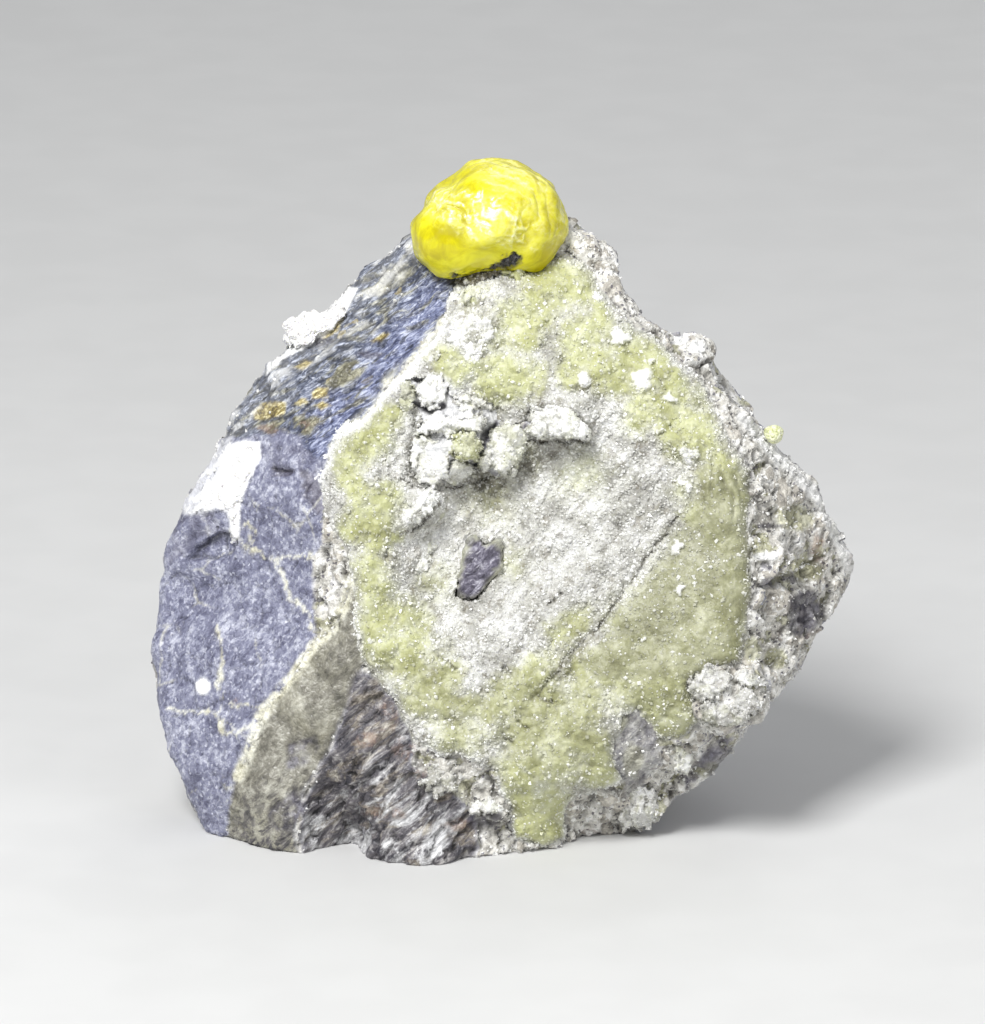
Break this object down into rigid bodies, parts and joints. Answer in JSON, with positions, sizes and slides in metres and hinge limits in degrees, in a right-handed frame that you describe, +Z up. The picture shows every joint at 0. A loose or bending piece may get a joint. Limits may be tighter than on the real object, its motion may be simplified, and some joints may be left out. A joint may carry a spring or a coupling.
{
  "type": "mineral specimen",
  "caption": "Loose mineral specimen: a waxy yellow crystal ball on top of a broken dark rock, with a pale yellow-green crystal crust around a grey hollow. Stands on its cut-flat foot.",
  "frame": {"origin": "centre of the bounding box, on the floor that the foot rests on", "axes": "+X to the right across the crusted front, +Y from the front to the back, +Z up"},
  "size_m": [0.0701, 0.0402, 0.0652],
  "materials": {
    "rock": "rough, broken, with a satin sheared flank",
    "yellow_crystal": "waxy, slightly see-through",
    "yellow_green_druse": "sugary, sparkling",
    "grey_white_druse": "sugary, sparkling",
    "white_vein": "chalky"
  },
  "bodies": {
    "root": {"matrix": "rock", "yellow_ball": "yellow_crystal", "druse_crust": "yellow_green_druse", "hollow_lining": "grey_white_druse", "white_vein_knob": "white_vein", "white_vein_patch": "white_vein", "rim_ball": "yellow_green_druse"}
  },
  "joints": []
}
